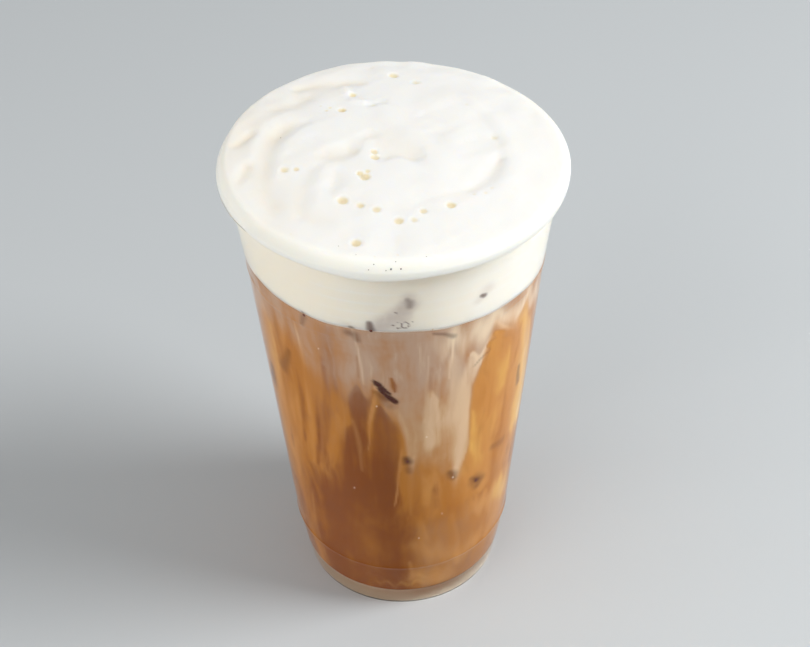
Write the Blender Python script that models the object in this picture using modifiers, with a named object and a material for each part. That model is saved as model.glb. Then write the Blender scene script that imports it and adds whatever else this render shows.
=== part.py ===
"""Iced coffee in a clear plastic cup, with a thick layer of white cream foam on top.

Three solids, in metres, +Z up, standing on z = 0 with the cup's axis on the Z axis:
  cup     thin turned wall with a rolled rim, two moulded rings and a pushed-up base
  coffee  what fills the cup up to the slightly tilted foot of the foam
  foam    the cream, which fills the rest, mounds above the rim and laps onto it
The side that faces -Y is the front.
"""
import math

import bpy
import numpy as np

# Cup
WALL = 0.0006            # thickness of the plastic
RIM_RADIUS = 0.049       # outside of the rolled rim
RIM_LEVEL = 0.153        # height of the middle of the rolled rim
BEAD = 0.0015            # outer radius of the roll's section
BEAD_END_DEG = -95.0     # where the roll stops, open at its underside
FOOT_RADIUS = 0.03113    # outside of the wall at the table
LOWER_RING_RADIUS = 0.03445
LOWER_RING_LEVEL = 0.0209
UPPER_RING_RADIUS = 0.0431
UPPER_RING_LEVEL = 0.1243
NECK_RADIUS = 0.04608    # outside of the wall just under the rim
NECK_LEVEL = 0.150
RING_RISE = 0.00025      # how far a moulded ring stands out
RING_HALF = 0.0008       # half its height
FLOOR_LEVEL = 0.0072     # top of the pushed-up base
FLOOR_FILLET = 0.0012
SKIRT = 0.0016           # thickness of the folded skirt round the base
FOOT_ROUND = 0.0003      # bevel of the foot

# Contents
GAP = 0.0003             # clearance between touching solids
BOUNDARY_LEVEL = 0.1283  # where coffee meets foam, on the axis
BOUNDARY_TILT = 0.0022   # how much lower that is at the wall on +X, and higher on -X
BOUNDARY_WAVE = 0.0003
LAP_RADIUS = 0.0480      # how far the foam laps over the rolled rim
LAP_SHIFT = 0.00035      # further out on +X, less on -X
LAP_THICK = 0.0008
EDGE_LEVEL = 0.1563      # foam surface near the rim
DOME_RISE = 0.0030       # rise of the foam from there to its middle
DOME_TILT = 0.0010       # lower on +X, higher on -X
DOME_EDGE = 0.0455       # radius where the dome starts to round down

SIDES = 48
DOME_RINGS = 17

# Swirls in the foam, each a groove along part of a spiral:
# start and end angle in degrees, radius at each in millimetres, depth and half width in millimetres
SWIRLS = (
    (46, -62, 28.8, 29.5, 1.3, 2.6),
    (-62, -122, 29.5, 26.5, 0.7, 2.6),
    (138, 202, 24.0, 33.5, 1.1, 2.4),
    (100, 138, 35.0, 36.5, 0.9, 2.0),
    (168, 232, 17.5, 24.0, 0.9, 2.4),
    (20, 62, 16.0, 18.0, 0.6, 2.2),
)
HOLLOW_PLACE = (0.0020, 0.0010)
HOLLOW_RADIUS = 0.0085
HOLLOW_DEPTH = 0.0013


def wall_radius(level):
    """Outside radius of the wall at a height: three straight runs, with a half-cosine bump at each ring."""
    level = np.asarray(level, dtype=float)
    radius = np.interp(
        level,
        (0.0, LOWER_RING_LEVEL, UPPER_RING_LEVEL, NECK_LEVEL, RIM_LEVEL),
        (FOOT_RADIUS, LOWER_RING_RADIUS, UPPER_RING_RADIUS, NECK_RADIUS,
         RIM_RADIUS - 2 * BEAD + WALL),
    )
    for ring in (LOWER_RING_LEVEL, UPPER_RING_LEVEL):
        near = np.clip(np.abs(level - ring) / RING_HALF, 0.0, 1.0)
        radius = radius + RING_RISE * 0.5 * (1.0 + np.cos(math.pi * near))
    return radius


def contents_radius(level):
    """Radius of what fills the cup, one gap inside the wall."""
    return wall_radius(level) - WALL - GAP


def arc(centre_r, centre_z, radius, start_deg, end_deg, steps):
    """Points (r, z) along an arc of a section."""
    angles = np.radians(np.linspace(start_deg, end_deg, steps + 1))
    return [(centre_r + radius * math.cos(a), centre_z + radius * math.sin(a)) for a in angles]


def ring_levels():
    """Heights of the wall's rows that shape the two moulded rings."""
    levels = []
    for ring in (LOWER_RING_LEVEL, UPPER_RING_LEVEL):
        levels += [ring - RING_HALF, ring, ring + RING_HALF]
    return levels


def new_collection(name):
    collection = bpy.data.collections.new(name)
    bpy.context.scene.collection.children.link(collection)
    return collection


def new_material(name, colour, roughness, alpha=1.0, transmission=0.0):
    material = bpy.data.materials.new(name)
    material.use_nodes = True
    shader = material.node_tree.nodes["Principled BSDF"]
    shader.inputs["Base Color"].default_value = (*colour, 1.0)
    shader.inputs["Roughness"].default_value = roughness
    shader.inputs["Metallic"].default_value = 0.0
    shader.inputs["Alpha"].default_value = alpha
    shader.inputs["Transmission Weight"].default_value = transmission
    return material


def turned(name, section, collection, material):
    """Closed solid of revolution: a section from the axis back to the axis, down its outer side."""
    mesh = bpy.data.meshes.new(name)
    points = [(radius, 0.0, level) for radius, level in section]
    edges = [(i, i + 1) for i in range(len(points) - 1)]
    mesh.from_pydata(points, edges, [])
    solid = bpy.data.objects.new(name, mesh)
    collection.objects.link(solid)

    screw = solid.modifiers.new("Turn", "SCREW")
    screw.axis = "Z"
    screw.angle = math.tau
    screw.steps = SIDES
    screw.render_steps = SIDES
    screw.use_merge_vertices = True
    screw.merge_threshold = 0.00001
    screw.use_smooth_shade = True

    bpy.context.view_layer.update()
    depsgraph = bpy.context.evaluated_depsgraph_get()
    baked = bpy.data.meshes.new_from_object(solid.evaluated_get(depsgraph))
    solid.modifiers.clear()
    solid.data = baked
    bpy.data.meshes.remove(mesh)
    baked.name = name
    baked.materials.clear()
    baked.materials.append(material)
    return solid


def move_points(solid, rule):
    """Passes a solid's points through a rule on arrays x, y, z."""
    mesh = solid.data
    points = np.empty(len(mesh.vertices) * 3)
    mesh.vertices.foreach_get("co", points)
    points = points.reshape(-1, 3)
    points = np.stack(rule(*points.T), axis=1)
    mesh.vertices.foreach_set("co", points.ravel())
    mesh.update()


def shade(solid, angle_deg):
    solid.data.shade_smooth()
    solid.data.set_sharp_from_angle(angle=math.radians(angle_deg))


def cup_section():
    """Section of the cup: floor, inner wall, rolled rim, outer wall, foot and the recess under the base."""
    bead_r = RIM_RADIUS - BEAD
    inner_foot = float(wall_radius(FLOOR_LEVEL)) - WALL
    fillet_top = FLOOR_LEVEL + FLOOR_FILLET

    section = [(0.0, FLOOR_LEVEL)]
    section += arc(inner_foot - FLOOR_FILLET, fillet_top, FLOOR_FILLET, -90, 0, 3)
    inside = [*ring_levels(), NECK_LEVEL]
    section += [(float(wall_radius(z)) - WALL, z) for z in inside]
    section += arc(bead_r, RIM_LEVEL, BEAD, 180, BEAD_END_DEG, 9)
    section += arc(bead_r, RIM_LEVEL, BEAD - WALL, BEAD_END_DEG, 180, 9)

    outside = [NECK_LEVEL, *reversed(ring_levels())]
    section += [(float(wall_radius(z)), z) for z in outside]
    section += [(float(wall_radius(FOOT_ROUND)), FOOT_ROUND)]
    section += [(FOOT_RADIUS - FOOT_ROUND, 0.0)]

    recess_radius = FOOT_RADIUS - SKIRT
    ceiling = FLOOR_LEVEL - WALL
    section += [(recess_radius + FOOT_ROUND, 0.0)]
    section += [(recess_radius, FOOT_ROUND)]
    section += arc(recess_radius - FLOOR_FILLET, ceiling - FLOOR_FILLET, FLOOR_FILLET, 0, 90, 2)
    section += [(0.0, ceiling)]
    return section


def boundary_level(x, y):
    """Height where coffee meets foam: a tilted plane with a slow wave round the wall."""
    around = np.arctan2(y, x)
    reach = np.hypot(x, y) / UPPER_RING_RADIUS
    wave = BOUNDARY_WAVE * np.sin(3.0 * around + 0.6) * reach**2
    return BOUNDARY_LEVEL - BOUNDARY_TILT * x / UPPER_RING_RADIUS + wave


def coffee_section():
    bottom = FLOOR_LEVEL + GAP
    corner = float(contents_radius(bottom))
    section = [(0.0, BOUNDARY_LEVEL)]
    section += [(UPPER_RING_RADIUS * part, BOUNDARY_LEVEL) for part in (0.35, 0.7)]
    section += [(float(contents_radius(BOUNDARY_LEVEL)), BOUNDARY_LEVEL)]
    section += [(float(contents_radius(z)), z) for z in reversed(ring_levels())]
    section += arc(corner - FLOOR_FILLET, bottom + FLOOR_FILLET, FLOOR_FILLET, 0, -90, 3)
    section += [(0.0, bottom)]
    return section


def coffee_rule(x, y, z):
    """Lays the top of the coffee on the boundary and refits its edge to the wall."""
    top = np.isclose(z, BOUNDARY_LEVEL, atol=1e-6)
    level = np.where(top, boundary_level(x, y) - GAP / 2, z)
    edge = top & (np.hypot(x, y) > UPPER_RING_RADIUS * 0.8)
    fit = np.where(edge, contents_radius(level) / np.maximum(np.hypot(x, y), 1e-9), 1.0)
    return x * fit, y * fit, level


def swirl_relief(x, y):
    """Depth of the foam's swirls: a bell-shaped groove along each spiral, with soft ends, and one hollow."""
    radius = np.hypot(x, y) * 1000.0
    depth = np.zeros_like(radius)
    for start, end, r_start, r_end, deep, half in SWIRLS:
        middle = (start + end) / 2.0
        turn = (np.degrees(np.arctan2(y, x)) - middle + 180.0) % 360.0 - 180.0
        share = turn / (end - start) + 0.5
        line = r_start + (r_end - r_start) * np.clip(share, 0.0, 1.0)
        ends = np.clip(5.0 * share + 0.5, 0.0, 1.0) * np.clip(5.5 - 5.0 * share, 0.0, 1.0)
        depth += 0.001 * deep * ends * np.exp(-((radius - line) / half) ** 2)
    away = np.hypot(x - HOLLOW_PLACE[0], y - HOLLOW_PLACE[1]) / HOLLOW_RADIUS
    return depth + HOLLOW_DEPTH * np.exp(-away**4)


def foam_surface(x, y):
    """Height of the foam's top: a low tilted dome less the swirls, which fade out towards its edge."""
    reach = np.hypot(x, y) / DOME_EDGE
    fade = np.clip((1.0 - reach) * 6.0, 0.0, 1.0)
    dome = EDGE_LEVEL + DOME_RISE * (1.0 - np.minimum(reach, 1.0) ** 2)
    return dome - DOME_TILT * x / DOME_EDGE - fade * swirl_relief(x, y)


def foam_section():
    """Section of the foam: dome, rounded edge, lap over the rim, the side along the wall and the foot."""
    bead_r = RIM_RADIUS - BEAD
    clear = BEAD + GAP
    tip_deg = math.degrees(math.acos((LAP_RADIUS - bead_r) / clear))
    tip_z = RIM_LEVEL + clear * math.sin(math.radians(tip_deg))
    shoulder = LAP_RADIUS + LAP_THICK / 2

    section = [(DOME_EDGE * i / DOME_RINGS, EDGE_LEVEL) for i in range(DOME_RINGS + 1)]
    section += [(DOME_EDGE + 0.5 * (shoulder - DOME_EDGE), EDGE_LEVEL - 0.12 * LAP_THICK)]
    section += [(shoulder - 0.2 * LAP_THICK, tip_z + 0.95 * LAP_THICK), (shoulder, tip_z + LAP_THICK / 2)]
    section += arc(bead_r, RIM_LEVEL, clear, tip_deg, 180, 5)
    section += [(float(contents_radius(NECK_LEVEL)), NECK_LEVEL)]
    section += [(float(contents_radius(BOUNDARY_LEVEL)), BOUNDARY_LEVEL)]
    section += [(UPPER_RING_RADIUS * part, BOUNDARY_LEVEL) for part in (0.7, 0.35)]
    section += [(0.0, BOUNDARY_LEVEL)]
    return section


def foam_rule(x, y, z):
    """Raises the dome, shifts the lap a little towards +X and lays the foot on the boundary."""
    radius = np.hypot(x, y)
    dome = (z > RIM_LEVEL + BEAD + GAP) & (radius <= DOME_EDGE + 1e-6)
    foot = np.isclose(z, BOUNDARY_LEVEL, atol=1e-6)
    lap = (z > RIM_LEVEL + BEAD) & (radius > DOME_EDGE + 1e-6)
    level = np.where(dome, foam_surface(x, y), z)
    level = np.where(foot, boundary_level(x, y) + GAP / 2, level)

    edge = foot & (radius > UPPER_RING_RADIUS * 0.8)
    fit = np.where(edge, contents_radius(level) / np.maximum(radius, 1e-9), 1.0)
    reach = np.clip((radius - DOME_EDGE) / (LAP_RADIUS - DOME_EDGE), 0.0, 1.0)
    outward = np.where(lap, LAP_SHIFT * reach * x / np.maximum(radius, 1e-9), 0.0)
    fit = fit + outward / np.maximum(radius, 1e-9)
    return x * fit, y * fit, level


def main():
    for old in list(bpy.data.objects):
        bpy.data.objects.remove(old, do_unlink=True)
    parts = new_collection("iced_coffee")

    plastic = new_material("clear_plastic", (0.95, 0.96, 0.95), 0.05, alpha=0.3, transmission=1.0)
    drink = new_material("coffee_brown", (0.36, 0.15, 0.045), 0.12)
    cream = new_material("cream_white", (0.93, 0.90, 0.83), 0.5)

    cup = turned("cup", cup_section(), parts, plastic)
    coffee = turned("coffee", coffee_section(), parts, drink)
    foam = turned("foam", foam_section(), parts, cream)
    move_points(coffee, coffee_rule)
    move_points(foam, foam_rule)
    for solid in (cup, coffee, foam):
        shade(solid, 40.0)


main()
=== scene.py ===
"""Looks of an iced coffee in a clear plastic cup, topped with a thick layer of white cream foam.

Each operator makes one piece in metres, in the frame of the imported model: +Z up, origin at the middle of
the cup's foot, front at -Y. Angles round the cup are in degrees, 0 at the front and positive to the right.
"""
import math

import bpy
import numpy as np
from bpy.props import (
    FloatProperty,
    FloatVectorProperty,
    IntProperty,
    PointerProperty,
)
from mathutils import Matrix, Vector


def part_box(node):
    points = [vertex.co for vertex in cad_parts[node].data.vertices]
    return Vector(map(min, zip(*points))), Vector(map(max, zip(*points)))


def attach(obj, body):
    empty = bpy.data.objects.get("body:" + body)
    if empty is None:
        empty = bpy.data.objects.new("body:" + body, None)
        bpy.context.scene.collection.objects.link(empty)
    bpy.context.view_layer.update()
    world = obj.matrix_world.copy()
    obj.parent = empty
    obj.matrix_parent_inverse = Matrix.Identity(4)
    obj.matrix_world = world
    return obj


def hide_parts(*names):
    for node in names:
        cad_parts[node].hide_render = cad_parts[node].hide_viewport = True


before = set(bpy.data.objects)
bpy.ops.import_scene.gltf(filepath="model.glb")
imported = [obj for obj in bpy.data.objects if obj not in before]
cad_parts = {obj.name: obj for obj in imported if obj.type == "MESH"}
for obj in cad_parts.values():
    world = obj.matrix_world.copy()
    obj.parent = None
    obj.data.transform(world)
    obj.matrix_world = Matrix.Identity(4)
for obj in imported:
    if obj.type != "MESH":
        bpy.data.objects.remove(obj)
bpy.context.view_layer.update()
CUP_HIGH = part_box("cup")[1]
FOAM_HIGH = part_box("foam")[1]

bl_info = {
    "name": "Iced coffee with cream foam",
    "version": (1, 0, 0),
    "blender": (4, 5, 0),
    "location": "View3D > Sidebar > Iced coffee",
    "description": "Makes a clear plastic cup of iced milky coffee with cream foam, and a plain studio",
    "category": "Add Mesh",
}

MM = 0.001

# Wall of the cup: heights of its bends and the outside radius at each, as the solids have them
BEAD = 1.5 * MM
RIM_LEVEL = CUP_HIGH[2] - BEAD
RIM_RADIUS = CUP_HIGH[0]
WALL_LEVELS = np.array((0.0, 20.9, 124.3, 150.0, 153.0)) * MM
WALL_RADII = np.array((31.13, 34.45, 43.10, 46.08, 46.60)) * MM
RING_LEVELS = np.array((20.9, 124.3)) * MM
RING_RISE = 0.16 * MM
RING_HALF = 0.8 * MM

# Base of the cup: height of its floor above the table, and the rounding where it meets the wall
FLOOR = 7.2 * MM
FILLET = 1.2 * MM

# How far below the outside of the plastic the drink and the foam reach
REACH = 0.25 * MM

# Where coffee meets foam
BOUNDARY_LEVEL = 128.3 * MM
BOUNDARY_TILT = 2.2 * MM


# Numbers on arrays


def smooth(low, high, value):
    """0 below low, 1 above high, and an S-shaped cubic between."""
    share = np.clip((value - low) / (high - low), 0.0, 1.0)
    return share * share * (3.0 - 2.0 * share)


def angle_between(a, b):
    """Signed difference of two angles in degrees, from -180 to 180."""
    return (a - b + 180.0) % 360.0 - 180.0


def drift(seed, *coordinates, waves=9):
    """Soft random field from -1 to 1: a mean of sine waves with seeded directions, lengths and phases."""
    rng = np.random.default_rng(seed)
    total = np.zeros(np.broadcast(*coordinates).shape)
    for _ in range(waves):
        push = rng.normal(size=len(coordinates))
        total += np.sin(sum(k * c for k, c in zip(push, coordinates)) + rng.uniform(0, math.tau))
    return total / math.sqrt(waves / 2.0)


def nearness(u, v, line):
    """Distance from a bent line over its half width there: the least over its straight runs. The line is given
    as points (u, v, half width), all in mm."""
    ratio = np.full(np.broadcast(u, v).shape, np.inf)
    for (u0, v0, w0), (u1, v1, w1) in zip(line, line[1:]):
        du, dv = u1 - u0, v1 - v0
        share = np.clip(((u - u0) * du + (v - v0) * dv) / (du * du + dv * dv), 0.0, 1.0)
        away = np.hypot(u - u0 - share * du, v - v0 - share * dv)
        ratio = np.minimum(ratio, away / (w0 + (w1 - w0) * share))
    return ratio


def wall_radius(level, share=1.0):
    """Outside radius of the wall: straight runs between its bends, with a half-cosine bump at each ring, which
    share makes lower."""
    radius = np.interp(level, WALL_LEVELS, WALL_RADII)
    for ring in RING_LEVELS:
        near = np.clip(np.abs(level - ring) / RING_HALF, 0.0, 1.0)
        radius = radius + share * RING_RISE * 0.5 * (1.0 + np.cos(math.pi * near))
    return radius


def boundary_level(angle):
    """Height of the foam line at the wall: tilted down to the right, with slow waves."""
    turn = np.radians(angle)
    wave = 0.35 * np.sin(3.0 * turn + 0.4) + 0.22 * np.sin(7.0 * turn + 2.0) + 0.12 * np.sin(17.0 * turn)
    return BOUNDARY_LEVEL - BOUNDARY_TILT * np.sin(turn) + wave * MM


def foam_cover(angle):
    """1 where foam laps over the rim and 0 where the rim stays clear, on the left."""
    return smooth(34.0, 50.0, np.abs(angle_between(angle, -97.0)))


def arc(centre_r, centre_z, radius, start_deg, end_deg, steps):
    """Points (r, z) along an arc of a section, as an array."""
    turn = np.radians(np.linspace(start_deg, end_deg, steps + 1))
    return np.stack((centre_r + radius * np.cos(turn), centre_z + radius * np.sin(turn)), axis=1)


def turned(radius, level, turn):
    """Points at given distances from the axis, heights and angles in radians, 0 at the front."""
    radius, level, turn = np.broadcast_arrays(radius, level, turn)
    return np.stack((radius * np.sin(turn), -radius * np.cos(turn), level), axis=-1)


# Meshes


def mesh_of(name, points, faces):
    """Smooth-shaded mesh from arrays of points and faces."""
    mesh = bpy.data.meshes.new(name)
    mesh.from_pydata(points.tolist(), [], faces)
    mesh.update()
    mesh.shade_smooth()
    return mesh


def skin(name, rows):
    """Mesh over rows of points that close round the axis: quads between rows, and a fan from each end row's
    middle. Rows that run down the outer side point the faces outwards."""
    count, sides = rows.shape[:2]
    points = rows.reshape(-1, 3)
    near = np.arange(count - 1)[:, None] * sides
    here = np.arange(sides)
    there = (here + 1) % sides
    quads = np.stack((near + here, near + sides + here, near + sides + there, near + there), axis=-1)
    faces = quads.reshape(-1, 4).tolist()
    last = (count - 1) * sides
    points = np.concatenate((points, rows[0].mean(axis=0)[None], rows[-1].mean(axis=0)[None]))
    top, foot = len(points) - 2, len(points) - 1
    faces += np.stack((np.full(sides, top), here, there), axis=1).tolist()
    faces += np.stack((np.full(sides, foot), last + there, last + here), axis=1).tolist()
    return mesh_of(name, points, faces)


def cube_shell(steps=18):
    """Closed cube of side 2 as a grid on each of its six sides, joined along the edges, with the grid lines
    closest together near the edges."""
    line = np.sin(np.linspace(-1.0, 1.0, steps + 1) * math.pi / 2.0)
    u, v = np.meshgrid(line, line, indexing="ij")
    one = np.ones_like(u)
    sides = []
    for sign in (-1.0, 1.0):
        flat, slant = sign * one, sign * u
        sides += [np.stack(axes, -1) for axes in ((flat, slant, v), (v, flat, slant), (slant, v, flat))]
    points = np.round(np.concatenate([side.reshape(-1, 3) for side in sides]), 6)
    points, joined = np.unique(points, axis=0, return_inverse=True)
    near = np.arange(steps)[:, None] * (steps + 1) + np.arange(steps)
    quad = np.stack((near, near + steps + 1, near + steps + 2, near + 1), -1).reshape(-1, 4)
    faces = np.concatenate([quad + index * (steps + 1) ** 2 for index in range(6)])
    return points, joined.ravel()[faces]


def repeated(faces, points, copies):
    """Faces of as many copies of a shape, whose points follow each other."""
    return np.concatenate([faces + index * points for index in range(copies)]).tolist()


def join_balls(name, centres, radii):
    """Mesh of small balls: the cube's grid pushed out to a sphere, carried to each centre."""
    points, faces = cube_shell(4)
    ball = points / np.linalg.norm(points, axis=1, keepdims=True)
    balls = (centres[:, None] + radii[:, None, None] * ball).reshape(-1, 3)
    return mesh_of(name, balls, repeated(faces, len(ball), len(centres)))


def paint(mesh, name, red, green, blue):
    """Stores three masks on the points as one colour attribute."""
    values = np.ones((len(mesh.vertices), 4))
    for channel, mask in enumerate((red, green, blue)):
        values[: len(mask), channel] = mask
    layer = mesh.attributes.new(name, "FLOAT_COLOR", "POINT")
    layer.data.foreach_set("color", values.ravel())


def place(name, mesh, finish, slot, *nodes):
    """Puts a mesh into the scene as a piece that rides on the object and stands for the named solids."""
    piece = bpy.data.objects.new(name, mesh)
    bpy.context.scene.collection.objects.link(piece)
    mesh.materials.append(finish)
    if nodes:
        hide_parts(*nodes)
    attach(piece, "root")
    return piece


# Materials


class Wire:
    """A number on its way through a material. Arithmetic on it adds Math nodes."""

    def __init__(self, net, socket):
        self.net = net
        self.socket = socket

    def _math(self, operation, first, second):
        return self.net.node("ShaderNodeMath", {"operation": operation}, {0: first, 1: second}).out()

    def __add__(self, other):
        return self._math("ADD", self, other)

    __radd__ = __add__

    def __sub__(self, other):
        return self._math("SUBTRACT", self, other)

    def __rsub__(self, other):
        return self._math("SUBTRACT", other, self)

    def __mul__(self, other):
        return self._math("MULTIPLY", self, other)

    __rmul__ = __mul__

    def most(self, other):
        return self._math("MAXIMUM", self, other)

    def step(self, low, high):
        """0 below low, 1 above high, smooth between."""
        settings = {"interpolation_type": "SMOOTHSTEP", "clamp": True}
        sockets = {"Value": self, "From Min": low, "From Max": high}
        return self.net.node("ShaderNodeMapRange", settings, sockets).out()


class Node:
    """One shader node, whose outputs come as wires."""

    def __init__(self, net, node):
        self.net = net
        self.node = node

    def out(self, key=0):
        return Wire(self.net, self.node.outputs[key])


class Finish:
    """A material under construction."""

    def __init__(self, name):
        self.material = bpy.data.materials.new(name)
        self.material.use_nodes = True
        self.tree = self.material.node_tree
        self.tree.nodes.clear()

    def node(self, kind, settings=None, inputs=None):
        """Adds a node, sets its settings first and then the values or links of its sockets."""
        node = self.tree.nodes.new(kind)
        for key, value in (settings or {}).items():
            setattr(node, key, value)
        for key, value in (inputs or {}).items():
            socket = node.inputs[key]
            if isinstance(value, Wire):
                self.tree.links.new(value.socket, socket)
            else:
                socket.default_value = value
        return Node(self, node)

    def place(self):
        """Object coordinates as a vector wire, in metres."""
        return self.node("ShaderNodeTexCoord").out("Object")

    def parts(self, vector):
        """The three coordinates of a vector."""
        split = self.node("ShaderNodeSeparateXYZ", None, {0: vector})
        return split.out(0), split.out(1), split.out(2)

    def stretched(self, vector, scale):
        return self.node("ShaderNodeVectorMath", {"operation": "MULTIPLY"}, {0: vector, 1: scale}).out()

    def shifted(self, vector, other):
        return self.node("ShaderNodeVectorMath", {"operation": "ADD"}, {0: vector, 1: other}).out()

    def noise(self, vector, scale, detail=3.0, roughness=0.5, key="Fac"):
        sockets = {"Vector": vector, "Scale": scale, "Detail": detail, "Roughness": roughness}
        return self.node("ShaderNodeTexNoise", None, sockets).out(key)

    def threads(self, vector, scale, squeeze, gain, detail=3.0, roughness=0.5):
        """Noise drawn out upwards by squeezing its height, from about -1 to 1."""
        return (self.noise(self.stretched(vector, (1.0, 1.0, squeeze)), scale, detail, roughness) - 0.5) * gain

    def mix(self, share, first, second):
        """Blend of two colours, each a wire or four numbers."""
        node = self.tree.nodes.new("ShaderNodeMix")
        node.data_type = "RGBA"
        for index, value in ((0, share), (6, first), (7, second)):
            if isinstance(value, Wire):
                self.tree.links.new(value.socket, node.inputs[index])
            else:
                node.inputs[index].default_value = value
        return Wire(self, node.outputs[2])

    def masks(self, name):
        """The three masks stored on the points under a name."""
        layer = self.node("ShaderNodeAttribute", {"attribute_name": name}).out("Color")
        split = self.node("ShaderNodeSeparateColor", None, {0: layer})
        return split.out(0), split.out(1), split.out(2)

    def bump(self, height, strength, distance):
        return self.node("ShaderNodeBump", None, {"Height": height, "Strength": strength, "Distance": distance}).out()

    def principled(self, **sockets):
        """Principled shader, with its sockets named in lower case."""
        inputs = {key.replace("_", " ").title().replace("Ior", "IOR"): value for key, value in sockets.items()}
        return self.node("ShaderNodeBsdfPrincipled", None, inputs).out()

    def finish(self, surface):
        self.node("ShaderNodeOutputMaterial", None, {"Surface": surface})
        return self.material


BLACK = (0.0, 0.0, 0.0, 1.0)


def rgba(colour):
    """A colour with full opacity, as sockets take it."""
    return (*tuple(colour)[:3], 1.0)


# Settings


def colour_property(name, description, default):
    return FloatVectorProperty(
        name=name, description=description, subtype="COLOR", size=3, min=0.0, max=1.0, default=default
    )


def length_property(name, description, default):
    return FloatProperty(name=name, description=description, default=default, min=0.0, unit="LENGTH", precision=5)


class CupSettings(bpy.types.PropertyGroup):
    wall: length_property("Wall", "Thickness of the clear plastic", 0.6 * MM)
    floor: length_property("Floor", "Height of the pushed-up base above the table", FLOOR)
    skirt: length_property("Skirt", "Thickness of the folded skirt round the base", 1.6 * MM)
    sides: IntProperty(name="Sides", description="Faces round the cup", default=288, min=48, max=720)
    tint: colour_property("Tint", "Colour of the plastic", (0.985, 0.99, 0.985))
    # Painted light: the skirt's warm colour stands for light that comes through the coffee into the plastic round the
    # base
    skirt_light: colour_property("Skirt tint", "Plastic of the skirt, lit through the coffee", (0.80, 0.73, 0.60))


class CoffeeSettings(bpy.types.PropertyGroup):
    brown: colour_property("Brown", "Deep coffee", (0.235, 0.056, 0.0))
    tan: colour_property("Tan", "Coffee with a little milk", (0.47, 0.175, 0.014))
    amber: colour_property("Amber", "Coffee that light shines through", (0.585, 0.255, 0.048))
    gold: colour_property("Gold", "Bright light in the coffee", (0.76, 0.44, 0.10))
    blond: colour_property("Blond", "Brightest of the light, where milk is thin", (0.86, 0.62, 0.28))
    haze: colour_property("Haze", "Milk that has mixed in near the foam", (0.53, 0.36, 0.255))
    low_haze: colour_property("Low haze", "Milk that has mixed in lower down", (0.56, 0.345, 0.18))
    milk: colour_property("Milk", "Fresh milk near the foam", (0.88, 0.735, 0.545))
    cream: colour_property("Cream", "Fresh milk lower down", (0.74, 0.54, 0.35))
    caramel: colour_property("Caramel", "Streaks of milk low in the drink", (0.62, 0.30, 0.09))
    shade: colour_property("Shade", "Drink where ice lies close behind the plastic", (0.050, 0.002, 0.002))
    glow: colour_property("Glow", "Light that comes through the bottom of the drink", (0.30, 0.13, 0.02))
    seed: IntProperty(name="Seed", description="Draw of the streaks at the back", default=11, min=0)


class FoamSettings(bpy.types.PropertyGroup):
    white: colour_property("White", "Top of the foam", (0.850, 0.845, 0.818))
    lip: colour_property("Lip", "Foam at its lip, with light coming through", (0.885, 0.875, 0.815))
    # Ivory: painted shade in hollows, on the left side and under the lip, and the foam's own tone behind the plastic
    ivory: colour_property("Ivory", "Foam in hollows and behind the plastic", (0.86, 0.80, 0.69))
    # Pit colour: warm painted shade inside open bubbles
    pit: colour_property("Pit", "Inside of an open bubble", (0.82, 0.72, 0.47))
    facet: colour_property("Facet", "Ice that shows through the foam", (0.47, 0.38, 0.35))
    dark: colour_property("Dark", "Corners of ice and small bubbles", (0.085, 0.022, 0.016))
    # Speck colour: painted shade inside tiny open bubbles
    speck_shade: colour_property("Speck", "Tiny open bubbles at the front", (0.22, 0.20, 0.17))
    under: colour_property("Under the lip", "Light carried into the shadow of the lip", (0.27, 0.30, 0.31))
    seam: colour_property("Seam", "Light from the coffee at the foot of the foam", (0.27, 0.20, 0.13))
    scatter: colour_property("Scatter", "Light carried down behind the plastic", (0.095, 0.086, 0.066))
    edge: length_property("Edge height", "Foam surface near the rim", 156.3 * MM)
    rise: length_property("Rise", "Rise of the foam from its edge to its middle", 3.0 * MM)
    tilt: length_property("Tilt", "How much lower the foam is on the right", 1.0 * MM)


class IceSettings(bpy.types.PropertyGroup):
    side: length_property("Side", "Side of an ice cube", 20.0 * MM)
    brown: colour_property("Brown", "Ice in the coffee", (0.085, 0.014, 0.008))
    grey: colour_property("Grey", "Ice in the foam", (0.12, 0.035, 0.025))
    rust: colour_property("Rust", "Lighter clouds in the ice", (0.16, 0.045, 0.030))
    pale: colour_property("Pale", "Lit side of a bubble", (0.85, 0.72, 0.55))
    rim: colour_property("Rim", "Edge of a bubble", (0.70, 0.50, 0.32))
    seed: IntProperty(name="Seed", description="Draw of the cubes and bubbles at the back", default=5, min=0)


class StudioSettings(bpy.types.PropertyGroup):
    floor: colour_property("Floor", "Colour of the floor", (0.555, 0.585, 0.60))
    key: FloatProperty(name="Key", description="Power of the soft light on the right", default=11.1, unit="POWER")
    front: FloatProperty(name="Front", description="Power of the soft light in front", default=14.0, unit="POWER")
    left: FloatProperty(name="Left", description="Power of the low soft light on the left", default=4.0, unit="POWER")
    fill: FloatProperty(name="Fill", description="Strength of the light from all round", default=0.37, min=0.0)
    lens: FloatProperty(name="Lens", description="Focal length on a 36 mm sensor", default=72.28, unit="CAMERA")


# Cup


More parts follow.
